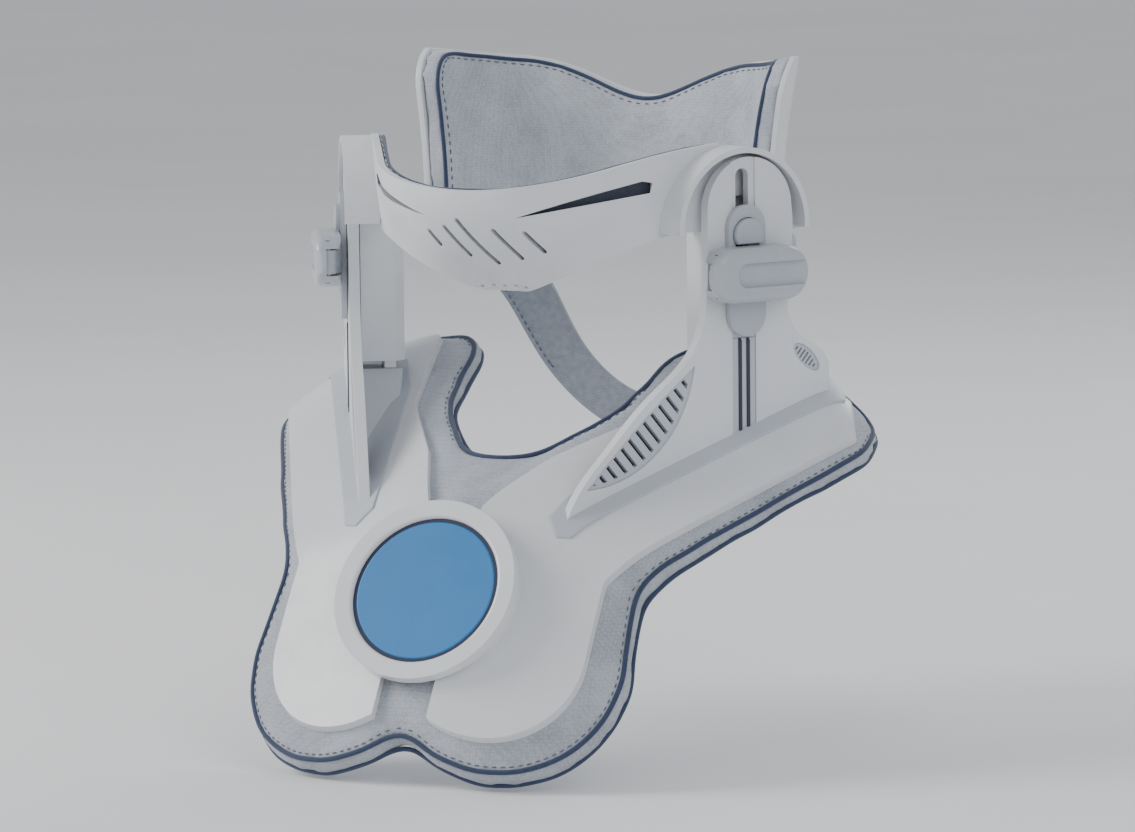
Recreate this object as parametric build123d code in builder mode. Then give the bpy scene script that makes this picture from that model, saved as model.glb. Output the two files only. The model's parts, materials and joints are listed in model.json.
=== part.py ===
from build123d import *
from math import cos, exp, log, radians, sin, sqrt
import os

# Cervical traction device: a shoulder rest, two uprights and a head support that lifts on them.
# Frame: +X to the wearer's left, +Y to the wearer's back, +Z up, millimetres.
# The origin is midway between the two uprights, level with the top of their feet.

os.makedirs("parts", exist_ok=True)

# ---------------------------------------------------------------- driving sizes
COLUMN_X = 102.0            # upright's reference point from the symmetry plane
SPLAY = 30.0                # the uprights turn out by this many degrees
LIFT_TRAVEL = 25.0          # how far the head support rises

RIDGE_ROUNDING = 20.0       # rounding of the shoulder rest over the breastbone
SHELL_THICKNESS = 4.0
PAD_THICKNESS = 12.0
GASKET_THICKNESS = 1.2
PRESS_DIR = Vector(0, -sqrt(0.5), sqrt(0.5))   # direction the shells are pressed on to the pad

COLUMN_THICKNESS = 5.0
TRACK_T = -4.0              # centre line of the track along the upright
TRACK_WIDTH = 13.0
TRACK_DEPTH = 1.2
SLOT_WIDTH = 7.0
RUNNING_GAP = 0.4

LEVER_Z = 73.5
LEVER_LENGTH = 52.6
LEVER_HEIGHT = 24.5
LEVER_PIN_T = -24.3
LEVER_PIN_N = 9.5
BUTTON_Z = 90.5
BUTTON_RADIUS = 7.5

EMBLEM_CENTRE = (0, -121.6, -60.8)
EMBLEM_RADIUS = 43.0
DISC_RADIUS = 33.0
SEAL_WIDTH = 1.6

CHIN_THICKNESS = 3.0
LINER_THICKNESS = 2.6
OCCIPUT_SHELL = 3.0
OCCIPUT_PAD = 9.0
GLUE_LINE = 0.05
TILT_PIN_Y = 38.0
TILT_PIN_Z = 94.0


def save(piece, name):
    """Label a finished piece with its node name and write it out."""
    piece.part.label = name
    export_step(piece.part, "parts/" + name + ".step")


def save_pair(piece, name):
    """Write a left-hand piece and its mirror twin for the right-hand side."""
    save(piece, name + "_left")
    with BuildPart() as twin:
        mirror(piece.part, about=Plane.YZ)
    save(twin, name + "_right")


def round_corners(sketch, corners):
    """Fillet each corner (u, v, radius) of a polygon sketch that has a radius."""
    for u, v, radius in corners:
        if radius > 0:
            corner = sketch.vertices().sort_by_distance((u, v, 0))[0]
            fillet(corner, radius)


# ---------------------------------------------------------------- shoulder rest form
def shoulder_height(x, y):
    """Height of the outer face of the wing shells: chest slope, shoulder slope and rear droop, blended."""
    side = sqrt(x * x + RIDGE_ROUNDING ** 2) - RIDGE_ROUNDING
    along = 0.5 * (abs(x) - COLUMN_X) + 0.866 * y
    inward = -0.866 * (abs(x) - COLUMN_X) + 0.5 * y
    slopes = [
        35.5 - 0.383 * side + 0.5965 * y,
        -63.0 + 1.6 * (y + 123.0 - 0.28 * side),
        24.0 - 0.8 * (along - 43.0) + 0.63 * inward,
    ]
    blend = 6.0
    lowest = min(slopes)
    return lowest - blend * log(sum(exp(-(s - lowest) / blend) for s in slopes))


def shoulder_sheet(lift=0.0):
    """The outer face as one smooth sheet, raised along Z by lift."""
    rows = []
    for x in range(-170, 171, 10):
        rows.append([(x, y, shoulder_height(x, y) + lift) for y in range(-190, 81, 10)])
    return Face.make_surface_from_array_of_points(rows)


OUTLINE_PLANE = Plane(origin=(0, 0, 0), x_dir=(1, 0, 0), z_dir=(0, -1, 1))
outer_sheet = shoulder_sheet()
shell_slab = Solid.extrude(outer_sheet, PRESS_DIR * -SHELL_THICKNESS)
pad_slab = Solid.extrude(
    outer_sheet.moved(Location(PRESS_DIR * -SHELL_THICKNESS)), PRESS_DIR * -PAD_THICKNESS
)
below_shells = Solid.extrude(outer_sheet, Vector(0, 0, -120))
below_gaskets = Solid.extrude(shoulder_sheet(GASKET_THICKNESS), Vector(0, 0, -120))

# ---------------------------------------------------------------- soft pad
PAD_LOBE_X = 37.0
PAD_LOBE_W = -147.3
PAD_LOBE_RADIUS = 57.0
pad_corners = [
    (0, -60, 26),
    (40, -4, 30),
    (49, 55, 20),
    (104, 57, 10),
    (134, 43, 8),
    (146, 28, 8),
    (150, 8.5, 6),
    (90, -107, 9),
    (93.7, -141.2, 0),
    (60, -160, 0),
    (0, -160, 0),
]

with BuildSketch() as pad_outline:
    with BuildLine():
        half = [(u, v) for u, v, radius in pad_corners]
        other_half = [(-u, v) for u, v in reversed(half[1:-1])]
        Polyline(*half, *other_half, close=True)
    make_face()
    round_corners(pad_outline, [(u, v, r) for u, v, r in pad_corners])
    round_corners(pad_outline, [(-u, v, r) for u, v, r in pad_corners if u > 0])
    with Locations((PAD_LOBE_X, PAD_LOBE_W), (-PAD_LOBE_X, PAD_LOBE_W)):
        Circle(PAD_LOBE_RADIUS)
    bottom_notch = pad_outline.vertices().sort_by_distance((0, -190.7, 0))[0]
    fillet(bottom_notch, 6)

with BuildPart() as base_pad:
    with BuildSketch(OUTLINE_PLANE):
        add(pad_outline.sketch)
    extrude(amount=260, both=True)
    add(pad_slab, mode=Mode.INTERSECT)

# ---------------------------------------------------------------- wing shells
wing_corners = [
    (13.3, -84, 0),
    (31, -46, 34),
    (60, -4, 30),
    (71, 50, 5),
    (112, 49, 8),
    (132, 38, 3),
    (143.6, 12.4, 5),
    (75.6, -109, 7),
    (76, -147.6, 0),
    (60, -150, 0),
    (13.3, -150, 0),
]
with BuildSketch() as wing_outline:
    with BuildLine():
        Polyline(*[(u, v) for u, v, radius in wing_corners], close=True)
    make_face()
    round_corners(wing_outline, wing_corners[1:8])
    with Locations((33.5, -148)):
        Circle(42.5)
    with Locations((-86.7, -150)):
        Rectangle(200, 400, mode=Mode.SUBTRACT)

with BuildPart() as wing_shell:
    with BuildSketch(OUTLINE_PLANE):
        add(wing_outline.sketch)
    extrude(amount=260, both=True)
    add(shell_slab, mode=Mode.INTERSECT)


with BuildPart() as gasket_slab:
    add(Solid.extrude(outer_sheet, Vector(0, 0, GASKET_THICKNESS)))

# ---------------------------------------------------------------- emblem
EMBLEM_PLANE = Plane(origin=EMBLEM_CENTRE, x_dir=(1, 0, 0), z_dir=(0, -1.6, 1))
SCREW_OFFSET = 22.0

SCREW_HEAD_RADIUS = 3.6
SCREW_HEAD_SINK = 1.2
SCREW_HEAD_HEIGHT = 2.0
screw_places = {
    "upper_left": (SCREW_OFFSET, SCREW_OFFSET),
    "upper_right": (-SCREW_OFFSET, SCREW_OFFSET),
    "lower_left": (SCREW_OFFSET, -SCREW_OFFSET),
    "lower_right": (-SCREW_OFFSET, -SCREW_OFFSET),
}


def emblem_screw(x, y):
    """Countersunk screw that holds the emblem's backplate through a wing shell into the pad's core."""
    with BuildPart() as screw:
        with BuildSketch(EMBLEM_PLANE.offset(-SCREW_HEAD_SINK)):
            with Locations((x, y)):
                Circle(SCREW_HEAD_RADIUS)
        extrude(amount=-SCREW_HEAD_HEIGHT)
        with BuildSketch(EMBLEM_PLANE.offset(-SCREW_HEAD_SINK - SCREW_HEAD_HEIGHT)):
            with Locations((x, y)):
                Circle(1.8)
        extrude(amount=-9.0)
    return screw


screws = {corner: emblem_screw(x, y) for corner, (x, y) in screw_places.items()}
with BuildPart() as emblem_screws:
    for screw in screws.values():
        add(screw.part)

with BuildPart() as emblem_backplate:
    with BuildSketch(EMBLEM_PLANE):
        Circle(EMBLEM_RADIUS - 1.5)
    extrude(amount=-24)
    add(below_shells, mode=Mode.SUBTRACT)
    add(emblem_screws.part, mode=Mode.SUBTRACT)
    with BuildSketch(EMBLEM_PLANE):
        with Locations(*screw_places.values()):
            Circle(SCREW_HEAD_RADIUS)
    extrude(amount=-SCREW_HEAD_SINK, mode=Mode.SUBTRACT)

with BuildPart() as emblem_ring:
    with BuildSketch(EMBLEM_PLANE):
        Circle(EMBLEM_RADIUS)
        Circle(DISC_RADIUS + SEAL_WIDTH, mode=Mode.SUBTRACT)
    extrude(amount=5.0)
    top_edges = emblem_ring.faces().sort_by_distance(EMBLEM_PLANE.from_local_coords((0, 0, 60)))[0].edges()
    fillet(top_edges, 1.6)

with BuildPart() as emblem_seal:
    with BuildSketch(EMBLEM_PLANE):
        Circle(DISC_RADIUS + SEAL_WIDTH)
        Circle(DISC_RADIUS, mode=Mode.SUBTRACT)
    extrude(amount=3.4)

with BuildPart() as emblem_disc:
    with BuildSketch(EMBLEM_PLANE):
        Circle(DISC_RADIUS)
    extrude(amount=3.8)
    front_face = emblem_disc.faces().sort_by_distance(EMBLEM_PLANE.from_local_coords((0, 0, 60)))[0]
    fillet(front_face.edges(), 0.8)

with BuildPart() as wing_shell_drilled:
    add(wing_shell.part)
    add(emblem_screws.part, mode=Mode.SUBTRACT)

with BuildPart() as base_pad_drilled:
    add(base_pad.part)
    add(emblem_screws.part, mode=Mode.SUBTRACT)

# ---------------------------------------------------------------- uprights
# Each upright is drawn on its own plane: t runs back along the plate, z is up, "out" is outward.
# The left-hand pieces are modelled and mirrored.
T_DIR = (sin(radians(SPLAY)), cos(radians(SPLAY)), 0)
OUT_DIR = (cos(radians(SPLAY)), -sin(radians(SPLAY)), 0)


def plate_plane(out=0.0):
    """Plane parallel to the upright's plate, sketch axes (t, z), facing outward."""
    return Plane(origin=(COLUMN_X, 0, 0), x_dir=T_DIR, z_dir=OUT_DIR).offset(out)


def plan_plane(z=0.0):
    """Level plane with sketch axes (t, depth inward from the plate's outer face)."""
    return Plane(origin=(COLUMN_X, 0, z), x_dir=T_DIR, z_dir=(0, 0, 1))


def plate_block(t_low, t_high, z_low, z_high, deep_low, deep_high):
    """Box on the upright's own axes, between two depths inward from the plate's outer face."""
    with BuildPart() as block:
        with BuildSketch(plate_plane(-deep_low)):
            with Locations(((t_low + t_high) / 2, (z_low + z_high) / 2)):
                Rectangle(t_high - t_low, z_high - z_low)
        extrude(amount=deep_low - deep_high)
    return block.part


def plate_cylinder(t, z, radius, deep_low, deep_high):
    """Round bar square to the plate, between two depths inward from its outer face."""
    with BuildPart() as bar:
        with BuildSketch(plate_plane(-deep_low)):
            with Locations((t, z)):
                Circle(radius)
        extrude(amount=deep_low - deep_high)
    return bar.part


FRONT_CURVE = [
    (-101, -31), (-98.5, -26), (-90, -14), (-79, -3), (-66, 10), (-52, 22), (-40, 31),
    (-33, 38), (-27, 49), (-24.5, 62), (-23.6, 83), (-23.5, 102),
]
REAR_CURVE = [(22.5, 102), (22.3, 83), (20.2, 63), (20.9, 53), (27.6, 43), (38.6, 36), (43, 26)]
ARCH_TOP = 125.0
LEAF_TIP_LOW = (-90, -18)
LEAF_TIP_HIGH = (-31, 33.5)
SLAT_ANGLE = -49.0
SLAT_COUNT = 13
REAR_VENT = (30.5, 33)
REAR_VENT_ANGLE = -42.0
REAR_SLIT_PITCH = 2.1

with BuildSketch() as leaf:
    with BuildLine():
        ThreePointArc(LEAF_TIP_LOW, (-61.5, 9), LEAF_TIP_HIGH)
        ThreePointArc(LEAF_TIP_HIGH, (-50.5, -3.5), LEAF_TIP_LOW)
    make_face()

with BuildSketch() as leaf_slits:
    with BuildLine():
        ThreePointArc((-86, -16.3), (-61.2, 7.2), (-33, 30))
        ThreePointArc((-33, 30), (-51.5, -1.6), (-86, -16.3))
    make_face()
    with BuildSketch(mode=Mode.PRIVATE) as slat_rows:
        for step in range(SLAT_COUNT):
            along = (step + 0.5) / SLAT_COUNT
            with Locations((-86 + 53 * along, -20 + 46.3 * along)):
                Rectangle(40, 1.9, rotation=SLAT_ANGLE)
    add(slat_rows.sketch, mode=Mode.INTERSECT)

with BuildPart() as column:
    with BuildSketch(plate_plane()):
        with BuildLine():
            Spline(*FRONT_CURVE)
            ThreePointArc(FRONT_CURVE[-1], (-0.5, ARCH_TOP), REAR_CURVE[0])
            Spline(*REAR_CURVE)
            Polyline(REAR_CURVE[-1], (43, 5), (-101, -45), FRONT_CURVE[0])
        make_face()
        add(leaf.sketch, mode=Mode.SUBTRACT)
        with Locations(REAR_VENT):
            Ellipse(9, 3.8, rotation=REAR_VENT_ANGLE, mode=Mode.SUBTRACT)
    extrude(amount=-COLUMN_THICKNESS)
    add(
        plate_block(TRACK_T - TRACK_WIDTH / 2, TRACK_T + TRACK_WIDTH / 2, -30, 140, -1, TRACK_DEPTH),
        mode=Mode.SUBTRACT,
    )
    with BuildSketch(plate_plane()):
        with Locations((TRACK_T, 93)):
            SlotOverall(54, SLOT_WIDTH, rotation=90)
    extrude(amount=-COLUMN_THICKNESS, mode=Mode.SUBTRACT)
    add(below_gaskets, mode=Mode.SUBTRACT)

with BuildPart() as column_gasket:
    with BuildSketch(plan_plane(-60)):
        Polygon(
            (-108, -2), (-103, -6.5), (47, -6.5), (50, -3), (50, 9), (8, 28), (-18, 28), (-78, 14), (-106, 6),
            align=None,
        )
    extrude(amount=120)
    add(gasket_slab.part, mode=Mode.INTERSECT)

with BuildPart() as vent_front:
    with BuildSketch(plate_plane(-1.0)):
        add(leaf.sketch)
        add(leaf_slits.sketch, mode=Mode.SUBTRACT)
    extrude(amount=-3.0)
    add(below_gaskets, mode=Mode.SUBTRACT)

with BuildPart() as vent_rear:
    with BuildSketch(plate_plane(-1.0)):
        with Locations(REAR_VENT):
            Ellipse(9, 3.8, rotation=REAR_VENT_ANGLE)
            for step in range(-3, 4):
                along = step * REAR_SLIT_PITCH
                slit = (along * cos(radians(REAR_VENT_ANGLE)), along * sin(radians(REAR_VENT_ANGLE)))
                with Locations(slit):
                    Rectangle(0.9, 5.0 - 0.35 * step * step, rotation=REAR_VENT_ANGLE, mode=Mode.SUBTRACT)
    extrude(amount=-3.0)

with BuildPart() as track_strip:
    add(plate_block(TRACK_T - 6.3, TRACK_T + 6.3, -20, 44, 0.5, TRACK_DEPTH))
    for rib in (-2.2, 2.2):
        add(plate_block(TRACK_T + rib - 0.8, TRACK_T + rib + 0.8, -20, 43, -0.3, 0.5))
    add(below_gaskets, mode=Mode.SUBTRACT)

# ---------------------------------------------------------------- guide posts and their sockets
POST_BOTTOM = 14.0
POST_TOP = 100.0
POST_NEAR = 15.5
POST_FAR = 22.3
POST_HALF = 7.0
POST_GAP = 0.3
HOUSING_T = -6.0
with BuildPart() as post:
    add(plate_block(HOUSING_T - POST_HALF, HOUSING_T + POST_HALF, POST_BOTTOM, POST_TOP, POST_NEAR, POST_FAR))
    fillet(post.edges().filter_by(Axis.Z), 1.2)
    add(below_gaskets, mode=Mode.SUBTRACT)

with BuildPart() as post_socket:
    with BuildSketch(plan_plane(-45)):
        Polygon((3.5, 5), (3.5, 24.5), (-15.5, 24.5), (-78, 9), (-82, 5), align=None)
    extrude(amount=68)
    with BuildPart(mode=Mode.PRIVATE) as side_profile:
        with BuildSketch(plate_plane()):
            Polygon(
                (3.5, 23), (-15.5, 23), (-24, 8), (-44, -6), (-82, -23), (-82, -45), (3.5, -45),
                align=None,
            )
        extrude(amount=-40)
    add(side_profile.part, mode=Mode.INTERSECT)
    add(post.part, mode=Mode.SUBTRACT)
    add(below_gaskets, mode=Mode.SUBTRACT)

# ---------------------------------------------------------------- lift housing
HOUSING_HALF = 14.0
HOUSING_LOW = 27.0
HOUSING_TOP = 107.0
HOUSING_NEAR = 5.5
HOUSING_FAR = 25.5
BOLT_RADIUS = 3.2
BOLT_BOSS_RADIUS = 4.9
with BuildPart() as housing_block:
    with BuildSketch(plate_plane(-HOUSING_NEAR)):
        with Locations((HOUSING_T, (HOUSING_LOW + HOUSING_TOP) / 2)):
            Rectangle(2 * HOUSING_HALF, HOUSING_TOP - HOUSING_LOW)
    extrude(amount=HOUSING_NEAR - HOUSING_FAR)
    inner_edges = housing_block.edges().filter_by(Axis.Z).sort_by(Axis.X)[:2]
    chamfer(inner_edges, 4.0)
    top_edges = housing_block.faces().sort_by(Axis.Z)[-1].edges()
    fillet(top_edges, 3.0)

with BuildPart() as lift_housing:
    add(housing_block.part)
    add(
        plate_block(
            HOUSING_T - POST_HALF - POST_GAP,
            HOUSING_T + POST_HALF + POST_GAP,
            HOUSING_LOW - 5,
            POST_TOP + 2,
            POST_NEAR - POST_GAP,
            POST_FAR + POST_GAP,
        ),
        mode=Mode.SUBTRACT,
    )
    add(plate_block(-15, 6, 60, HOUSING_TOP + 5, HOUSING_NEAR - 2, 13.8), mode=Mode.SUBTRACT)
    add(plate_cylinder(TRACK_T, LEVER_Z, BOLT_BOSS_RADIUS, 6.0, 14.0))
    add(plate_cylinder(TRACK_T, LEVER_Z, BOLT_RADIUS, 4.0, 13.0), mode=Mode.SUBTRACT)

# ---------------------------------------------------------------- slider, clamp bolt and lever
SLIDER_OUT = 3.0
SLIDER_WIDTH = 20.0
with BuildPart() as slider:
    with BuildSketch(plate_plane(RUNNING_GAP)):
        with Locations((TRACK_T, 74.5)):
            SlotOverall(59, SLIDER_WIDTH, rotation=90)
        with Locations((TRACK_T, BUTTON_Z)):
            Circle(BUTTON_RADIUS + 0.4, mode=Mode.SUBTRACT)
    extrude(amount=SLIDER_OUT - RUNNING_GAP)
    with BuildSketch(plan_plane(68)):
        with Locations((LEVER_PIN_T, -LEVER_PIN_N)):
            Circle(3.9)
        Polygon((-10, -2.5), (-10, -4.2), (-20.4, -9.8), (-26.4, -6.6), (-17, -2.5), align=None)
        with Locations((LEVER_PIN_T, -LEVER_PIN_N)):
            Circle(1.6, mode=Mode.SUBTRACT)
    extrude(amount=11)
    add(plate_block(-28, 8, 68, 79, -RUNNING_GAP, 4), mode=Mode.SUBTRACT)
    add(plate_cylinder(TRACK_T, LEVER_Z, BOLT_RADIUS, -5.0, 2.0), mode=Mode.SUBTRACT)

with BuildPart() as clamp_bolt:
    add(plate_cylinder(TRACK_T, LEVER_Z, BOLT_RADIUS, -SLIDER_OUT, 13.0))
    add(plate_cylinder(TRACK_T, LEVER_Z, 5.0, -SLIDER_OUT - 2.4, -SLIDER_OUT))

with BuildPart() as lever_pin:
    with BuildSketch(plan_plane(LEVER_Z - 9.5)):
        with Locations((LEVER_PIN_T, -LEVER_PIN_N)):
            Circle(1.6)
    extrude(amount=19)

LEVER_IN = 3.5
LEVER_OUT = 15.5
with BuildPart() as lever:
    with BuildSketch(plate_plane(LEVER_IN)):
        with Locations((TRACK_T, LEVER_Z)):
            SlotOverall(LEVER_LENGTH, LEVER_HEIGHT)
    extrude(amount=LEVER_OUT - LEVER_IN)
    fillet(lever.faces().sort_by_distance(plate_plane().from_local_coords((0, LEVER_Z, 60)))[0].edges(), 3.5)
    with BuildSketch(plan_plane(LEVER_Z - 20)):
        with Locations((LEVER_PIN_T, -LEVER_PIN_N)):
            Circle(6.0)
        with Locations((LEVER_PIN_T + 27.3, -LEVER_PIN_N)):
            Rectangle(54.6, 12)
    extrude(amount=40, mode=Mode.INTERSECT)
    with BuildSketch(plate_plane(LEVER_OUT)):
        with Locations((TRACK_T - 14 + 24, LEVER_Z)):
            SlotOverall(48, 11)
    extrude(amount=-2.6, mode=Mode.SUBTRACT)
    add(plate_block(-34, 5, LEVER_Z - 6.2, LEVER_Z + 6.2, -10.2, 0), mode=Mode.SUBTRACT)
    with BuildSketch(plan_plane(LEVER_Z - 6.2)):
        with Locations((LEVER_PIN_T, -LEVER_PIN_N)):
            Circle(4.4)
    extrude(amount=12.4, mode=Mode.SUBTRACT)
    with BuildSketch(plan_plane(LEVER_Z - 9.8)):
        with Locations((LEVER_PIN_T, -LEVER_PIN_N)):
            Circle(1.65)
    extrude(amount=19.6, mode=Mode.SUBTRACT)

# ---------------------------------------------------------------- release button and brake
BUTTON_TRAVEL = 2.0
SHOE_NEAR = 8.3
SHOE_FAR = 10.5
with BuildPart() as release_button:
    with BuildSketch(plate_plane(2.6)):
        with Locations((TRACK_T, BUTTON_Z)):
            Circle(BUTTON_RADIUS)
        with Locations((TRACK_T, LEVER_Z + LEVER_HEIGHT / 2 + 0.8 - 10)):
            Rectangle(30, 20, mode=Mode.SUBTRACT)
    extrude(amount=2.9)
    cap_face = release_button.faces().sort_by_distance(plate_plane().from_local_coords((0, BUTTON_Z, 60)))[0]
    fillet(cap_face.edges(), 0.8)
    add(plate_cylinder(TRACK_T, BUTTON_Z + 1.0, 2.8, -2.8, SHOE_NEAR))

with BuildPart() as brake_shoe:
    add(plate_block(-12, 5.5, 84, 98, SHOE_NEAR, SHOE_FAR))

with BuildPart() as brake_strip:
    add(plate_block(1.5, 5.2, 86.5, 121, COLUMN_THICKNESS, 8.0))

with BuildPart() as button_spring:
    spring_foot = plate_plane().from_local_coords((TRACK_T, BUTTON_Z + 1.0, -13.3))
    with BuildLine() as coil:
        Helix(pitch=1.1, height=2.3, radius=3.2, center=spring_foot, direction=OUT_DIR)
    with BuildSketch(Plane(origin=coil.line @ 0, z_dir=coil.line % 0)):
        Circle(0.35)
    sweep()

# ---------------------------------------------------------------- chin rest
RIM_RADIUS = 68.0
RIM_FRONT_Y = -85.0
RIM_ARC = RIM_RADIUS * radians(60.0)
EAR_NEAR = 9.6
EAR_FAR = 14.0
HOOD_T = -4.5
HOOD_Z = 94.0
HOOD_RADIUS = 35.5


def ease(value):
    """Smooth step from 0 to 1."""
    value = max(0.0, min(1.0, value))
    return value * value * (3.0 - 2.0 * value)


def rim_plane(run):
    """Upright plane across the rim at a signed distance from the front: x is inward, y is height."""
    side = 1 if run >= 0 else -1
    turn = side * min(abs(run), RIM_ARC) / RIM_RADIUS
    straight = max(0.0, abs(run) - RIM_ARC)
    x = RIM_RADIUS * sin(turn) + side * straight * cos(turn)
    y = RIM_FRONT_Y + RIM_RADIUS * (1.0 - cos(turn)) + straight * abs(sin(turn))
    return Plane(origin=(x, y, 0), x_dir=(-sin(turn), cos(turn), 0), z_dir=(cos(turn), sin(turn), 0))


def chin_profile(run, depth):
    """Cross-section points of the chin rest from rim to lower edge, moved in from the outer face by depth."""
    distance = abs(run)
    reach = 1.0 - ease((distance - 10.0) / 95.0)
    rim_z = 114.0 + 17.0 * ease(distance / 140.0)
    low_z = 65.0 + 27.0 * ease((distance - 24.0) / 90.0)
    points = []
    for level in range(0, 7):
        drop = level / 6.0
        inset = (2.0 + 45.0 * reach) * drop ** 1.7
        lean = (2.0 + 45.0 * reach) * 1.7 * max(drop, 0.001) ** 0.7
        fall = rim_z - low_z
        size = sqrt(lean * lean + fall * fall)
        points.append((inset + depth * fall / size, rim_z - fall * drop + depth * lean / size))
    return points


def chin_layer(near, far):
    """One layer of the chin rest between two depths from its outer face."""
    with BuildPart() as layer:
        for step in range(-16, 17):
            run = step * 8.0
            outer = chin_profile(run, near)
            inner = chin_profile(run, far)
            with BuildSketch(rim_plane(run)):
                with BuildLine():
                    Spline(*outer)
                    Line(outer[-1], inner[-1])
                    Spline(*reversed(inner))
                    Line(inner[0], outer[0])
                make_face()
        loft()
    return layer.part


with BuildPart() as ear_left:
    with BuildSketch(plate_plane(-EAR_NEAR)):
        with Locations((HOOD_T, HOOD_Z)):
            Circle(HOOD_RADIUS)
        with Locations((HOOD_T, HOOD_Z - 52)):
            Rectangle(120, 100, mode=Mode.SUBTRACT)
    extrude(amount=EAR_NEAR - EAR_FAR)
    with BuildSketch(plate_plane(-EAR_NEAR)):
        with Locations((HOOD_T, HOOD_Z)):
            Circle(HOOD_RADIUS)
            Circle(HOOD_RADIUS - 2.5, mode=Mode.SUBTRACT)
        with Locations((HOOD_T, HOOD_Z - 52)):
            Rectangle(120, 100, mode=Mode.SUBTRACT)
    extrude(amount=EAR_NEAR + 2.0)

side_slot = [(22, 101.5), (68, 110.5), (69, 115), (66, 116)]
front_slots = [(-22, 91, 9), (-10, 90, 17), (0, 90, 25), (14, 89, 17), (26, 90, 12)]
with BuildPart() as chin_cuts:
    with BuildSketch(Plane(origin=(0, -30, 0), x_dir=(1, 0, 0), z_dir=(0, -1, 0))):
        for x, z, length in front_slots:
            with Locations((x, z)):
                SlotOverall(length, 2.2, rotation=-63)
        for side in (-1, 1):
            Polygon(*[(side * x, z) for x, z in side_slot], align=None)
    extrude(amount=80)
    with BuildSketch(Plane(origin=(0, -42, 68), x_dir=(1, 0, 0), z_dir=(0, -0.6, -0.8))):
        with GridLocations(5.5, 1, 5, 1):
            Circle(0.9)
    extrude(amount=12, both=True)

with BuildPart() as chin_shell:
    add(chin_layer(0.0, CHIN_THICKNESS))
    add(chin_cuts.part, mode=Mode.SUBTRACT)
    add(ear_left.part)
    mirror(ear_left.part, about=Plane.YZ)
    add(housing_block.part, mode=Mode.SUBTRACT)
    mirror(housing_block.part, about=Plane.YZ, mode=Mode.SUBTRACT)

with BuildPart() as chin_liner:
    add(chin_layer(CHIN_THICKNESS + GLUE_LINE, CHIN_THICKNESS + LINER_THICKNESS))
    add(ear_left.part, mode=Mode.SUBTRACT)
    mirror(ear_left.part, about=Plane.YZ, mode=Mode.SUBTRACT)
    add(housing_block.part, mode=Mode.SUBTRACT)
    mirror(housing_block.part, about=Plane.YZ, mode=Mode.SUBTRACT)

# ---------------------------------------------------------------- occiput rest
OCCIPUT_CENTRE_Y = 40.0
OCCIPUT_SWEEP = 84.0


def occiput_radius(angle):
    """Plan radius of the occiput shell's outer face, a rounded rectangle form."""
    power = 2.8
    return (abs(sin(angle) / 88.0) ** power + abs(cos(angle) / 70.0) ** power) ** (-1.0 / power)


def occiput_layer(near, far):
    """One layer of the occiput rest between two insets from its outer face, before its ends are cut."""
    with BuildPart() as layer:
        for step in range(-12, 13):
            side = step / 12.0
            angle = side * radians(OCCIPUT_SWEEP)
            low_z = 86.0 - 16.0 * side * side
            top_z = 142.0 + 17.0 * ease(abs(side) / 0.5) + 7.0 * ease((abs(side) - 0.4) / 0.6)
            outer = []
            inner = []
            for level in range(0, 5):
                height = level / 4.0
                radius = occiput_radius(angle) + 9.0 * height ** 2
                z = low_z + (top_z - low_z) * height
                outer.append((radius - near, z))
                inner.append((radius - far, z))
            with BuildSketch(
                Plane(
                    origin=(0, OCCIPUT_CENTRE_Y, 0),
                    x_dir=(sin(angle), cos(angle), 0),
                    z_dir=(cos(angle), -sin(angle), 0),
                )
            ):
                with BuildLine():
                    Spline(*outer)
                    Line(outer[-1], inner[-1])
                    Spline(*reversed(inner))
                    Line(inner[0], outer[0])
                make_face()
        loft()
    return layer.part


with BuildPart() as occiput_side:
    with BuildSketch(Plane.YZ):
        with BuildLine():
            Polyline((52, 60), (55, 146))
            ThreePointArc((55, 146), (62, 161), (78, 168))
            Polyline((78, 168), (140, 168), (140, 60), (52, 60))
        make_face()
    extrude(amount=120, both=True)

with BuildPart() as occiput_shell:
    add(occiput_layer(0.0, OCCIPUT_SHELL))
    add(occiput_side.part, mode=Mode.INTERSECT)

with BuildPart() as occiput_pad:
    add(occiput_layer(OCCIPUT_SHELL + GLUE_LINE, OCCIPUT_SHELL + OCCIPUT_PAD))
    add(occiput_side.part, mode=Mode.INTERSECT)

# ---------------------------------------------------------------- tilt arms, brackets and pins
TILT_PIN_RADIUS = 3.0
ARM_IN = 87.5
ARM_OUT = 91.0
ARM_HALF = 8.0
ARM_TOP = TILT_PIN_Z + ARM_HALF
ARM_BOTTOM = TILT_PIN_Z - ARM_HALF
with BuildPart() as tilt_arm:
    with BuildSketch(Plane.YZ.offset(ARM_IN)):
        with BuildLine():
            Polyline((TILT_PIN_Y, ARM_TOP), (84, ARM_TOP), (84, ARM_BOTTOM), (TILT_PIN_Y, ARM_BOTTOM))
            ThreePointArc(
                (TILT_PIN_Y, ARM_BOTTOM), (TILT_PIN_Y - ARM_HALF, TILT_PIN_Z), (TILT_PIN_Y, ARM_TOP)
            )
        make_face()
        with Locations((TILT_PIN_Y, TILT_PIN_Z)):
            Circle(TILT_PIN_RADIUS + 0.05, mode=Mode.SUBTRACT)
    extrude(amount=ARM_OUT - ARM_IN)
    add(occiput_shell.part, mode=Mode.SUBTRACT)

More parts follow.
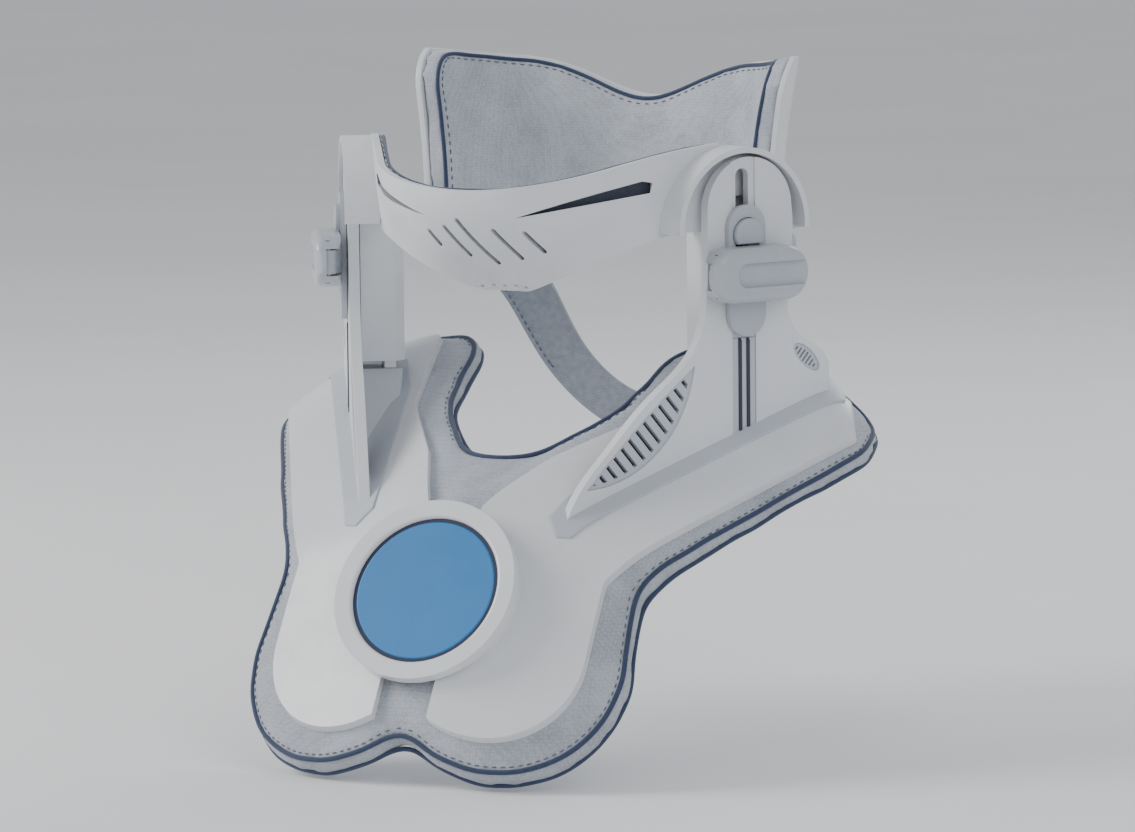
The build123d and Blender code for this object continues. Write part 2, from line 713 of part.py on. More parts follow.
with BuildPart() as tilt_bracket:
    with BuildSketch(Plane.YZ.offset(ARM_OUT + 0.5)):
        with BuildLine():
            Polyline((TILT_PIN_Y, ARM_TOP), (10, ARM_TOP), (10, ARM_BOTTOM - 4), (TILT_PIN_Y, ARM_BOTTOM))
            ThreePointArc(
                (TILT_PIN_Y, ARM_BOTTOM), (TILT_PIN_Y + ARM_HALF, TILT_PIN_Z), (TILT_PIN_Y, ARM_TOP)
            )
        make_face()
        with Locations((TILT_PIN_Y, TILT_PIN_Z)):
            Circle(TILT_PIN_RADIUS, mode=Mode.SUBTRACT)
    extrude(amount=3.5)
    add(housing_block.part, mode=Mode.SUBTRACT)
    add(ear_left.part, mode=Mode.SUBTRACT)

with BuildPart() as tilt_pin:
    with BuildSketch(Plane.YZ.offset(ARM_IN - 0.5)):
        with Locations((TILT_PIN_Y, TILT_PIN_Z)):
            Circle(TILT_PIN_RADIUS)
    extrude(amount=9.5)
    with BuildSketch(Plane.YZ.offset(ARM_IN - 2.5)):
        with Locations((TILT_PIN_Y, TILT_PIN_Z)):
            Circle(5.0)
    extrude(amount=2.0)

# ---------------------------------------------------------------- nape strap
STRAP_WIDTH = 20.0
STRAP_GAP = 0.2
STRAP_THICKNESS = 2.4
with BuildPart() as nape_strap:
    with BuildSketch(Plane.XY.offset(-40)):
        with BuildLine():
            near = []
            far = []
            for step in range(-10, 11):
                angle = step / 10.0 * radians(76.0)
                reach = occiput_radius(angle) + STRAP_GAP + 1.6 * cos(angle)
                near.append((reach * sin(angle), OCCIPUT_CENTRE_Y + reach * cos(angle)))
                reach += STRAP_THICKNESS
                far.append((reach * sin(angle), OCCIPUT_CENTRE_Y + reach * cos(angle)))
            Spline(*near)
            Line(near[-1], far[-1])
            Spline(*reversed(far))
            Line(far[0], near[0])
        make_face()
    extrude(amount=160)
    with BuildPart(mode=Mode.PRIVATE) as strap_front:
        with BuildSketch(Plane(origin=(0, 130, 0), x_dir=(1, 0, 0), z_dir=(0, -1, 0))):
            with BuildLine():
                Spline(
                    (-95, 92), (-80, 78), (-62, 55), (-42, 17), (0, -9), (42, 17), (62, 55), (80, 78), (95, 92),
                )
            trace(line_width=STRAP_WIDTH)
        extrude(amount=90)
    add(strap_front.part, mode=Mode.INTERSECT)
    split(bisect_by=Plane.XY.offset(TILT_PIN_Z - 8.5), keep=Keep.BOTTOM)

with BuildPart() as strap_anchor:
    with BuildSketch(Plane.YZ.offset(ARM_OUT - 4.0)):
        with Locations((66, 79)):
            Circle(5.5)
    extrude(amount=5.4)
    add(nape_strap.part, mode=Mode.SUBTRACT)
    add(occiput_shell.part, mode=Mode.SUBTRACT)

save(base_pad_drilled, "base_pad")
save_pair(wing_shell_drilled, "wing_shell")
save(emblem_backplate, "emblem_backplate")
save(emblem_ring, "emblem_ring")
save(emblem_seal, "emblem_seal")
save(emblem_disc, "emblem_disc")
for corner, screw in screws.items():
    save(screw, "emblem_screw_" + corner)
save_pair(column, "column")
save_pair(column_gasket, "column_gasket")
save_pair(vent_front, "vent_front")
save_pair(vent_rear, "vent_rear")
save_pair(track_strip, "track_strip")
save_pair(post, "post")
save_pair(post_socket, "post_socket")
save_pair(lift_housing, "lift_housing")
save_pair(slider, "slider")
save_pair(clamp_bolt, "clamp_bolt")
save_pair(lever_pin, "lever_pin")
save_pair(lever, "lever")
save_pair(release_button, "release_button")
save_pair(brake_shoe, "brake_shoe")
save_pair(brake_strip, "brake_strip")
save_pair(button_spring, "button_spring")
save(chin_shell, "chin_shell")
save(chin_liner, "chin_liner")
save(occiput_shell, "occiput_shell")
save(occiput_pad, "occiput_pad")
save_pair(tilt_arm, "tilt_arm")
save_pair(tilt_bracket, "tilt_bracket")
save_pair(tilt_pin, "tilt_pin")
save(nape_strap, "nape_strap")
save_pair(strap_anchor, "strap_anchor")
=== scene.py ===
import json
import math

import bmesh
import bpy
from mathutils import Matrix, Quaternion, Vector
from mathutils.bvhtree import BVHTree


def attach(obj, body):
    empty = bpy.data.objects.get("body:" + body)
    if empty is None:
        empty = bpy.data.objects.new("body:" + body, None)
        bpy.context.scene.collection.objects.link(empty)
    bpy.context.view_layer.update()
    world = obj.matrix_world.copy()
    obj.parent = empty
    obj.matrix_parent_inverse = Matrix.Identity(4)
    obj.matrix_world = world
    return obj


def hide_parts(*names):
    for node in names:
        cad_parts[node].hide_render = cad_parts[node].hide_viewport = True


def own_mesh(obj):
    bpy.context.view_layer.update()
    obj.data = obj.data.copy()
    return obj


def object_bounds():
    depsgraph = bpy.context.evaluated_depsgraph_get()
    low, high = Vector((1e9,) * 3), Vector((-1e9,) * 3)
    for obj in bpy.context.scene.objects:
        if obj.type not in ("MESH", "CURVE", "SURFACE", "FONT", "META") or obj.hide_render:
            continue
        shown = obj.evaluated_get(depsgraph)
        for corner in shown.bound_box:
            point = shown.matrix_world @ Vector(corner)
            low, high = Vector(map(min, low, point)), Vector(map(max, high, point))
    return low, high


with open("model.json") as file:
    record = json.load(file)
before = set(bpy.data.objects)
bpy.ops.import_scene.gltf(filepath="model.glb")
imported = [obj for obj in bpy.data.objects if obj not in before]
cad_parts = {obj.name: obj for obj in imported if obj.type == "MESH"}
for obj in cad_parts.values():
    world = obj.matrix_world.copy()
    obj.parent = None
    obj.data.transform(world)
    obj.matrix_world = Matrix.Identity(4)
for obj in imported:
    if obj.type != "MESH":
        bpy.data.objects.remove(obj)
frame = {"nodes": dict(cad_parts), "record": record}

cad_low, cad_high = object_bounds()
nodes = frame["nodes"]
SIDES = ("left", "right")

# Driving values, in metres, as in the frame.
COLUMN_X = 0.102                # the uprights' reference point, and how far they turn out
SPLAY = math.radians(30.0)
TRACK_T = -0.004                # the track's middle, measured along the upright's plate
RIB_OFFSET = 0.0022             # the track's two ribs, each side of its middle
RIB_HALF = 0.0009
HEAD_AXIS_Y = 0.040             # the upright axis that the occiput rest curves round
CHIN_AXIS_Y = -0.020            # the upright axis that the chin rest curves round
WELD_DISTANCE = 0.00002         # split vertices closer than this are one


# ------------------------------------------------------------------ materials
def new_material(name):
    """A new material with its node tree and its Principled shader."""
    material = bpy.data.materials.new(name)
    material.use_nodes = True
    tree = material.node_tree
    return material, tree, tree.nodes["Principled BSDF"]


def add_node(tree, kind, **settings):
    node = tree.nodes.new(kind)
    for key, value in settings.items():
        setattr(node, key, value)
    return node


def object_coords(tree, scale=(1, 1, 1), rotation=(0, 0, 0)):
    """Coordinates in metres on the object, so every pattern keeps its real size."""
    coords = add_node(tree, "ShaderNodeTexCoord")
    mapping = add_node(tree, "ShaderNodeMapping")
    mapping.inputs["Scale"].default_value = scale
    mapping.inputs["Rotation"].default_value = rotation
    tree.links.new(coords.outputs["Object"], mapping.inputs["Vector"])
    return mapping.outputs["Vector"]


def noise(tree, vector, scale, detail=3.0, roughness=0.5):
    node = add_node(tree, "ShaderNodeTexNoise")
    node.inputs["Scale"].default_value = scale
    node.inputs["Detail"].default_value = detail
    node.inputs["Roughness"].default_value = roughness
    tree.links.new(vector, node.inputs["Vector"])
    return node.outputs["Fac"]


def math_node(tree, operation, *operands):
    """One arithmetic step; an operand is a number or another node's output."""
    node = add_node(tree, "ShaderNodeMath", operation=operation)
    for socket, operand in zip(node.inputs, operands):
        if isinstance(operand, float):
            socket.default_value = operand
        else:
            tree.links.new(operand, socket)
    return node.outputs[0]


def grey(value):
    return (value, value, value)


def darker(colour, share):
    return tuple(channel * share for channel in colour)


def lighter(colour, share, lift=0.0):
    return tuple(min(1.0, channel * share + lift) for channel in colour)


def ramp(tree, factor, socket, first, second):
    """Drive a shader socket by a factor, from the colour at one stop to the colour at a second stop."""
    node = add_node(tree, "ShaderNodeValToRGB")
    for element, (position, colour) in zip(node.color_ramp.elements, (first, second)):
        element.position = position
        element.color = (*colour, 1)
    tree.links.new(factor, node.inputs["Fac"])
    tree.links.new(node.outputs["Color"], socket)


def bump(tree, shader, height, strength, distance, below=None):
    """Relief on the shader's normal, over the relief in below."""
    node = add_node(tree, "ShaderNodeBump")
    node.inputs["Strength"].default_value = strength
    node.inputs["Distance"].default_value = distance
    tree.links.new(height, node.inputs["Height"])
    if below is not None:
        tree.links.new(below, node.inputs["Normal"])
    tree.links.new(node.outputs["Normal"], shader.inputs["Normal"])
    return node.outputs["Normal"]


def plastic(name, colour, rough, grain=900.0, coat=0.0):
    """Moulded plastic: fine spark-eroded grain, faint cloudy colour, uneven satin polish."""
    material, tree, shader = new_material(name)
    vector = object_coords(tree)
    cloud = noise(tree, vector, scale=14.0, detail=4.0, roughness=0.6)
    ramp(tree, cloud, shader.inputs["Base Color"], (0.3, darker(colour, 0.93)), (0.7, lighter(colour, 1.04)))
    smear = noise(tree, vector, scale=38.0, detail=5.0, roughness=0.65)
    ramp(tree, smear, shader.inputs["Roughness"], (0.3, grey(rough - 0.07)), (0.75, grey(rough + 0.09)))
    fine = noise(tree, vector, scale=grain, detail=2.0)
    bump(tree, shader, fine, strength=0.35, distance=0.00012)
    shader.inputs["Specular IOR Level"].default_value = 0.5
    shader.inputs["Coat Weight"].default_value = coat
    shader.inputs["Coat Roughness"].default_value = 0.12
    return material


def knit(name, colour, pitch, depth):
    """Spacer knit: close small loops in even lines, with fuzz, soft mottling, and painted shade darkening the
    hollows between the loops.
    """
    material, tree, shader = new_material(name)
    vector = object_coords(tree)
    loops = add_node(tree, "ShaderNodeTexVoronoi", feature="F1")
    loops.inputs["Scale"].default_value = 1.0 / pitch
    loops.inputs["Randomness"].default_value = 0.45
    tree.links.new(vector, loops.inputs["Vector"])
    from_loop = loops.outputs["Distance"]
    mottle = noise(tree, vector, scale=45.0, detail=5.0, roughness=0.6)
    # Painted shade: the colour darkens away from each loop's middle, in the hollows the bump sinks; the
    # mottle on top is random tone.
    mottle_and_painted_shade = math_node(tree, "MULTIPLY_ADD", from_loop, -0.55, mottle)
    low, high = darker(colour, 0.78), lighter(colour, 1.10)
    ramp(tree, mottle_and_painted_shade, shader.inputs["Base Color"], (0.0, low), (0.45, high))
    shader.inputs["Roughness"].default_value = 0.88
    shader.inputs["Sheen Weight"].default_value = 0.3
    shader.inputs["Sheen Roughness"].default_value = 0.45
    fuzz = noise(tree, vector, scale=2400.0, detail=2.0, roughness=0.7)
    hollows = math_node(tree, "MULTIPLY", from_loop, -1.0)
    stitches = bump(tree, shader, hollows, strength=0.9, distance=depth)
    bump(tree, shader, fuzz, strength=0.3, distance=depth * 0.6, below=stitches)
    return material


def webbing(name, colour):
    """Woven tape, cord or thread: fine slanting ribs under a slightly fuzzy weave, with painted shade
    darkening the grooves between the ribs.
    """
    material, tree, shader = new_material(name)
    vector = object_coords(tree, rotation=(0.0, 0.785, 0.0))
    weave = add_node(tree, "ShaderNodeTexWave", wave_type="BANDS", bands_direction="DIAGONAL")
    weave.inputs["Scale"].default_value = 620.0
    weave.inputs["Distortion"].default_value = 0.5
    tree.links.new(vector, weave.inputs["Vector"])
    fuzz = noise(tree, vector, scale=300.0, detail=4.0, roughness=0.6)
    # Painted shade: this signal darkens the colour where the bump sinks between the ribs; the fuzz in it is
    # random tone.
    weave_and_painted_shade = math_node(tree, "MULTIPLY_ADD", weave.outputs["Fac"], 0.4, fuzz)
    low, high = darker(colour, 0.72), lighter(colour, 1.12)
    ramp(tree, weave_and_painted_shade, shader.inputs["Base Color"], (0.35, low), (0.95, high))
    shader.inputs["Roughness"].default_value = 0.8
    shader.inputs["Sheen Weight"].default_value = 0.25
    bump(tree, shader, weave_and_painted_shade, strength=0.6, distance=0.0003)
    return material


def track_plastic(name, colour, inlay_colour):
    """The track strip's plastic, with its two ribs inlaid in dark rubber. Both sides share it by symmetry."""
    material = plastic(name, colour, 0.46, grain=1300.0)
    tree = material.node_tree
    base_colour = tree.nodes["Principled BSDF"].inputs["Base Color"]
    coords = add_node(tree, "ShaderNodeTexCoord")
    split = add_node(tree, "ShaderNodeSeparateXYZ")
    tree.links.new(coords.outputs["Object"], split.inputs[0])
    sideways = math_node(tree, "SUBTRACT", math_node(tree, "ABSOLUTE", split.outputs["X"]), COLUMN_X)
    along_x = math_node(tree, "MULTIPLY", sideways, math.sin(SPLAY))
    along_y = math_node(tree, "MULTIPLY", split.outputs["Y"], math.cos(SPLAY))
    along = math_node(tree, "ADD", along_x, along_y)
    from_middle = math_node(tree, "ABSOLUTE", math_node(tree, "SUBTRACT", along, TRACK_T))
    from_rib = math_node(tree, "ABSOLUTE", math_node(tree, "SUBTRACT", from_middle, RIB_OFFSET))
    on_rib = math_node(tree, "LESS_THAN", from_rib, RIB_HALF)
    plain_colour = base_colour.links[0].from_socket
    mix = add_node(tree, "ShaderNodeMix", data_type="RGBA")
    factor, plain, inlay = mix.inputs[0], mix.inputs[6], mix.inputs[7]
    tree.links.new(on_rib, factor)
    tree.links.new(plain_colour, plain)
    inlay.default_value = (*inlay_colour, 1)
    tree.links.new(mix.outputs[2], base_colour)
    return material


def metal(name, colour, rough):
    """Brushed metal: long thin scratches along one axis."""
    material, tree, shader = new_material(name)
    vector = object_coords(tree, scale=(1, 1, 40))
    streak = noise(tree, vector, scale=160.0, detail=6.0, roughness=0.7)
    ramp(tree, streak, shader.inputs["Base Color"], (0.3, darker(colour, 0.82)), (0.7, colour))
    ramp(tree, streak, shader.inputs["Roughness"], (0.2, grey(rough - 0.08)), (0.8, grey(rough + 0.12)))
    shader.inputs["Metallic"].default_value = 1.0
    bump(tree, shader, streak, strength=0.15, distance=0.00008)
    return material


def rubber(name, colour):
    """Matt rubber with a little pale dust in its pores."""
    material, tree, shader = new_material(name)
    vector = object_coords(tree)
    dust = noise(tree, vector, scale=90.0, detail=6.0, roughness=0.7)
    ramp(tree, dust, shader.inputs["Base Color"], (0.35, colour), (0.8, lighter(colour, 1.5, 0.01)))
    ramp(tree, dust, shader.inputs["Roughness"], (0.2, grey(0.55)), (0.8, grey(0.75)))
    bump(tree, shader, noise(tree, vector, scale=700.0, detail=2.0), strength=0.3, distance=0.0001)
    return material


def floor_paint(name):
    """Pale studio paint with a faint, wide unevenness."""
    material, tree, shader = new_material(name)
    tone = noise(tree, object_coords(tree), scale=3.0, detail=4.0, roughness=0.6)
    ramp(tree, tone, shader.inputs["Base Color"], (0.3, (0.84, 0.84, 0.85)), (0.7, (0.88, 0.88, 0.89)))
    shader.inputs["Roughness"].default_value = 0.75
    return material


SHELL = plastic("shell_plastic", (0.74, 0.755, 0.78), 0.34)
CONTROL = plastic("control_plastic", (0.47, 0.50, 0.545), 0.30, coat=0.25)
TRIM = plastic("trim_plastic", (0.53, 0.56, 0.61), 0.46, grain=1300.0)
TRACK = track_plastic("track_plastic", (0.53, 0.56, 0.61), (0.03, 0.04, 0.07))
RING = plastic("ring_plastic", (0.76, 0.77, 0.79), 0.24, coat=0.3)
EMBLEM = plastic("emblem_plastic", (0.022, 0.20, 0.50), 0.42)
BRACKET = plastic("bracket_plastic", (0.46, 0.49, 0.53), 0.42)
SEAL = rubber("seal_rubber", (0.012, 0.02, 0.05))
SHOE = rubber("brake_rubber", (0.02, 0.02, 0.022))
STEEL = metal("brushed_steel", (0.62, 0.63, 0.65), 0.30)
POST = metal("post_aluminium", (0.72, 0.73, 0.75), 0.34)
PAD = knit("pad_knit", (0.44, 0.47, 0.52), pitch=0.0015, depth=0.0003)
LINING = knit("lining_knit", (0.50, 0.53, 0.58), pitch=0.0013, depth=0.00025)
STRAP = webbing("strap_webbing", (0.30, 0.33, 0.38))
PIPING = webbing("piping_cord", (0.03, 0.05, 0.11))
THREAD = webbing("thread", (0.10, 0.13, 0.20))
# Painted shade: a near-black cloth for the dark sheets behind the chin slots and the vents, standing in for
# the shade there.
SHADE_SCRIM = webbing("backing_scrim", (0.035, 0.045, 0.07))

SLOT_MATERIAL = {
    "pad": PAD, "lining": LINING, "shell": SHELL, "control": CONTROL, "trim": TRIM, "ring": RING,
    "seal": SEAL, "emblem": EMBLEM, "steel": STEEL, "post": POST, "shoe": SHOE, "strap": STRAP,
    "bracket": BRACKET,
}
EDGE_ROUNDING = {               # by kind of node; kinds that are not listed keep their modelled edges
    "wing_shell": 0.0017, "column": 0.0008, "chin_shell": 0.0006, "occiput_shell": 0.0008, "slider": 0.0005,
    "lever": 0.0004, "post_socket": 0.0006, "column_gasket": 0.0003, "vent_front": 0.00025,
    "vent_rear": 0.0002, "track_strip": 0.0002, "emblem_backplate": 0.0006, "lift_housing": 0.0005,
    "strap_anchor": 0.0006, "brake_strip": 0.0003,
}


def soften_edges(obj, width):
    """Round the sharp edges of a carried-over node, and even out its shading."""
    weld = obj.modifiers.new("weld", "WELD")
    weld.merge_threshold = WELD_DISTANCE
    rounding = obj.modifiers.new("edge_round", "BEVEL")
    rounding.width = width
    rounding.segments = 2
    rounding.limit_method = "ANGLE"
    rounding.angle_limit = math.radians(35.0)
    rounding.use_clamp_overlap = True
    shading = obj.modifiers.new("even_shading", "WEIGHTED_NORMAL")
    shading.weight = 50
    shading.keep_sharp = False


def dress_cad_nodes():
    """Give every carried-over node its material, and round its edges where its kind asks for it."""
    slot_of = {entry["node"]: entry["material_slot"] for entry in frame["record"]["subparts"]}
    for name, obj in nodes.items():
        kind = name.replace("_left", "").replace("_right", "")
        obj.data.materials.clear()
        obj.data.materials.append(TRACK if kind == "track_strip" else SLOT_MATERIAL[slot_of[name]])
        if kind in EDGE_ROUNDING:
            soften_edges(obj, EDGE_ROUNDING[kind])


dress_cad_nodes()


# ------------------------------------------------------------------ tools for meshes
def finished_mesh(work, name):
    """Turn a bmesh into a mesh, and free it."""
    mesh = bpy.data.meshes.new(name)
    work.to_mesh(mesh)
    work.free()
    return mesh


def linked_object(name, mesh):
    obj = bpy.data.objects.new(name, mesh)
    bpy.context.scene.collection.objects.link(obj)
    return obj


def dress(obj, material, body):
    """Shade a new piece smooth, and give it its material and the body it rides on."""
    for polygon in obj.data.polygons:
        polygon.use_smooth = True
    obj.data.materials.clear()
    obj.data.materials.append(material)
    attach(obj, body)
    return obj


def add_object(name, mesh, material, body):
    return dress(linked_object(name, mesh), material, body)


def welded_mesh(node):
    """A copy of a CAD node's mesh with its split vertices joined."""
    work = bmesh.new()
    work.from_mesh(nodes[node].data)
    bmesh.ops.remove_doubles(work, verts=work.verts, dist=WELD_DISTANCE)
    work.normal_update()
    return work


def surface_of(meshes):
    """One search tree over the surfaces of several meshes."""
    points = []
    faces = []
    for mesh in meshes:
        start = len(points)
        points += [vertex.co.copy() for vertex in mesh.vertices]
        faces += [[start + index for index in polygon.vertices] for polygon in mesh.polygons]
    return BVHTree.FromPolygons(points, faces)


def apply_modifiers(obj):
    """Replace an object's mesh by what its modifiers make of it."""
    bpy.context.view_layer.update()
    graph = bpy.context.evaluated_depsgraph_get()
    mesh = bpy.data.meshes.new_from_object(obj.evaluated_get(graph))
    obj.modifiers.clear()
    obj.data = mesh


# ------------------------------------------------------------------ foam
CLOTH_FRAMES = 20
FADE_GRIPS = 3.0                # the cap fades in over this many grips beyond the held foam
CLOTH_SETTINGS = {
    "quality": 5, "mass": 0.3, "tension_stiffness": 12.0, "compression_stiffness": 12.0,
    "bending_stiffness": 0.8, "use_pressure": True,
}


def blown_up(obj, pressure):
    """Where the cloth simulation takes each vertex when the piece is blown up from its held part."""
    cloth = obj.modifiers.new("cloth", "CLOTH")
    for setting, value in CLOTH_SETTINGS.items():
        setattr(cloth.settings, setting, value)
    cloth.settings.uniform_pressure_force = pressure
    cloth.settings.vertex_group_mass = "held"
    cloth.settings.effector_weights.gravity = 0.0
    cloth.collision_settings.use_self_collision = False
    cloth.point_cache.frame_start = 1
    cloth.point_cache.frame_end = CLOTH_FRAMES
    for frame_number in range(1, CLOTH_FRAMES + 1):
        bpy.context.scene.frame_set(frame_number)
    graph = bpy.context.evaluated_depsgraph_get()
    places = [vertex.co.copy() for vertex in obj.evaluated_get(graph).data.vertices]
    obj.modifiers.clear()
    bpy.context.scene.frame_set(1)
    return places


def relax(obj, free, rounds):
    """Even out small lumps left by the remesh, where the foam is not held."""
    work = bmesh.new()
    work.from_mesh(obj.data)
    work.verts.ensure_lookup_table()
    loose = [work.verts[index] for index in free]
    for _ in range(rounds):
        bmesh.ops.smooth_vert(
            work, verts=loose, factor=0.4, use_axis_x=True, use_axis_y=True, use_axis_z=True
        )
    work.to_mesh(obj.data)
    work.free()


def foam_piece(node, name, neighbours, voxel, cap, pressure, grip, start_in):
    """A foam piece: the CAD form blown up between the parts that hold it.

    Foam within grip of a neighbour is held. The rest starts start_in inside the CAD form, and no point
    moves further than cap from where it starts, or less than that close to a neighbour.
    """
    obj = linked_object(name, finished_mesh(welded_mesh(node), name))
    remesh = obj.modifiers.new("remesh", "REMESH")
    remesh.mode = "VOXEL"
    remesh.voxel_size = voxel
    apply_modifiers(obj)
    near = surface_of([nodes[neighbour].data for neighbour in neighbours])
    held = obj.vertex_groups.new(name="held")
    gaps = []
    starts = []
    for vertex in obj.data.vertices:
        gap = near.find_nearest(vertex.co)[3]
        gaps.append(gap)
        if gap < grip:
            held.add([vertex.index], 1.0, "REPLACE")
            starts.append(vertex.co.copy())
        else:
            starts.append(vertex.co - vertex.normal * start_in)
    for vertex, start in zip(obj.data.vertices, starts):
        vertex.co = start
    ends = blown_up(obj, pressure)
    for vertex, start, end, gap in zip(obj.data.vertices, starts, ends, gaps):
        move = end - start
        limit = cap * min(1.0, max(0.0, gap - grip) / (FADE_GRIPS * grip))
        if move.length > limit:
            move = move * (limit / move.length)
        vertex.co = start + move
    relax(obj, [index for index, gap in enumerate(gaps) if gap >= grip], rounds=4)
    fine = obj.modifiers.new("fine", "SUBSURF")
    fine.levels = 1
    fine.render_levels = 1
    apply_modifiers(obj)
    return obj


# ------------------------------------------------------------------ loops, piping and stitches
def longest_chain(places, links):
    """The longest run of linked points, as places in order."""
    best = []
    best_length = 0.0
    left = set(links)
    while left:
        start = min(left)
        chain = [start]
        left.discard(start)
        while True:
            onward = [index for index in links[chain[-1]] if index in left]
            if not onward:
                break
            chain.append(onward[0])
            left.discard(onward[0])
        length = sum((places[a] - places[b]).length for a, b in zip(chain, chain[1:]))
        if length > best_length:
            best_length = length
            best = [places[index] for index in chain]
    return best


def rim_loop(node, facing, limit, step, rounds=0):
    """The longest edge loop round the faces of a CAD node that look along facing(point).

    A face looks along it when their cosine is over limit. The loop comes back in even steps, and smoothed.
    """
    work = welded_mesh(node)
    looking = {}
    for face in work.faces:
        looking[face.index] = face.normal.dot(facing(face.calc_center_median())) > limit
    links = {}
    for edge in work.edges:
        if len(edge.link_faces) == 2:
            first, second = (looking[face.index] for face in edge.link_faces)
            if first != second:
                a, b = edge.verts
                links.setdefault(a.index, []).append(b.index)
                links.setdefault(b.index, []).append(a.index)
    work.verts.ensure_lookup_table()
    places = {index: work.verts[index].co.copy() for index in links}
    work.free()
    return smooth_loop(resample(longest_chain(places, links), step), rounds)


def resample(points, step):
    """Points at equal steps round a closed polyline."""
    line = points + [points[0]]
    marks = [0.0]
    for a, b in zip(line, line[1:]):
        marks.append(marks[-1] + (b - a).length)
    count = max(4, round(marks[-1] / step))
    result = []
    place = 0
    for index in range(count):
        want = marks[-1] * index / count
        while place < len(marks) - 2 and marks[place + 1] < want:
            place += 1
        span = max(1e-9, marks[place + 1] - marks[place])
        result.append(line[place].lerp(line[place + 1], (want - marks[place]) / span))
    return result


def smooth_loop(points, rounds):
    for _ in range(rounds):
        points = [
            (points[index - 1] + points[index] * 2.0 + points[(index + 1) % len(points)]) / 4.0
            for index in range(len(points))
        ]
    return points


def tangent(points, index):
    return (points[(index + 1) % len(points)] - points[index - 1]).normalized()


def add_ring(work, middle, first, second, radius, sides):
    """A ring of new vertices round a point, in the plane of two directions."""
    ring = []
    for side in range(sides):
        turn = 2.0 * math.pi * side / sides
        place = middle + first * (radius * math.cos(turn)) + second * (radius * math.sin(turn))
        ring.append(work.verts.new(place))
    return ring


def tube_loop(work, points, radius, sides=8):
    """Add a closed round cord along a loop of points to a bmesh."""
    rings = []
    up = tangent(points, 0).orthogonal().normalized()
    for index, point in enumerate(points):
        along = tangent(points, index)
        up = (up - along * up.dot(along)).normalized()
        rings.append(add_ring(work, point, up, along.cross(up), radius, sides))
    last, first = rings[-1], rings[0]
    twist = min(range(sides), key=lambda offset: (last[offset].co - first[0].co).length)
    for row, ring in enumerate(rings):
        following = rings[(row + 1) % len(rings)]
        shift = twist if ring is last else 0
        for side in range(sides):
            other = (side + 1) % sides
            a, b = ring[(side + shift) % sides], ring[(other + shift) % sides]
            work.faces.new((a, b, following[other], following[side]))


def piping(name, pad, loop, radius, body):
    """A sewn-in cord round the rim of a pad, its middle a quarter of its radius above the pad's surface."""
    surface = surface_of([pad.data])
    seated = []
    for point in loop:
        place, normal, _, _ = surface.find_nearest(point)
        seated.append(place + normal * (0.25 * radius))
    work = bmesh.new()
    tube_loop(work, smooth_loop(seated, rounds=6), radius)
    add_object(name, finished_mesh(work, name), PIPING, body)


STITCH_LENGTH = 0.0024
STITCH_RADIUS = 0.00032
STITCH_SIDES = 5
STITCH_FORM = ((-0.5, 0.25), (-0.3, 0.9), (0.0, 1.0), (0.3, 0.9), (0.5, 0.25))    # place and size along it
STITCH_REACH = 0.004            # a stitch whose cloth is further away than this is left out


def add_stitch(work, place, normal, along):
    """One stitch lying on the cloth at a place, fat in its middle and sunk in at both ends."""
    along = (along - normal * along.dot(normal)).normalized()
    across = along.cross(normal)
    rings = []
    for offset, size in STITCH_FORM:
        middle = place + along * (offset * STITCH_LENGTH) + normal * (STITCH_RADIUS * (0.9 * size - 0.35))
        rings.append(add_ring(work, middle, across, normal, STITCH_RADIUS * size, STITCH_SIDES))
    for first, second in zip(rings, rings[1:]):
        for turn in range(STITCH_SIDES):
            other = (turn + 1) % STITCH_SIDES
            work.faces.new((first[turn], first[other], second[other], second[turn]))
    work.faces.new(list(reversed(rings[0])))
    work.faces.new(rings[-1])


def inner_side(surface, loop, facing, inset):
    """1 or -1: the side of the loop on which the cloth is nearer."""

    def distance(sign):
        total = 0.0
        for index in range(0, len(loop), 3):
            side = facing(loop[index]).cross(tangent(loop, index)).normalized() * sign
            total += surface.find_nearest(loop[index] + side * inset * 1.5)[3]
        return total

    return min((1.0, -1.0), key=distance)


def stitch_row(name, target, loop, facing, inset, body):
    """Short stitches along a loop, set in from it over the face that looks along facing(point)."""
    surface = surface_of([target.data])
    sign = inner_side(surface, loop, facing, inset)
    work = bmesh.new()
    for index, point in enumerate(loop):
        along = tangent(loop, index)
        side = facing(point).cross(along).normalized() * sign
        place, normal, _, gap = surface.find_nearest(point + side * inset)
        if gap <= STITCH_REACH:
            add_stitch(work, place, normal, along)
    add_object(name, finished_mesh(work, name), THREAD, body)


# ------------------------------------------------------------------ shoulder pad
FROM_CHEST = Vector((0.0, -0.70711, 0.70711))


def up_from_chest(point):
    return FROM_CHEST


def down_to_chest(point):
    return -FROM_CHEST


HARD_BASE = ("wing_shell", "emblem_backplate", "column", "post_socket", "post_left", "post_right")
hard_base = [node for node in nodes if node.startswith(HARD_BASE)]
base_pad = foam_piece(
    "base_pad", "shoulder_pad", hard_base, voxel=0.0036, cap=0.005, pressure=4.0, grip=0.0022, start_in=0.0006
)
dress(base_pad, PAD, "base")
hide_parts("base_pad")
top_rim = rim_loop("base_pad", up_from_chest, limit=0.04, step=0.003, rounds=2)
low_rim = rim_loop("base_pad", down_to_chest, limit=0.04, step=0.003, rounds=2)
piping("shoulder_pad_piping_top", base_pad, top_rim, 0.0012, "base")
piping("shoulder_pad_piping_under", base_pad, low_rim, 0.0012, "base")
stitch_marks = resample(top_rim, step=0.0042)
stitch_row("shoulder_pad_stitching", base_pad, stitch_marks, up_from_chest, 0.0042, "base")


# ------------------------------------------------------------------ head pads
def inward_to_head(point):
    return Vector((-point.x, HEAD_AXIS_Y - point.y, 0.0)).normalized()


def inward_to_chin(point):
    return Vector((-point.x, CHIN_AXIS_Y - point.y, 0.0)).normalized()


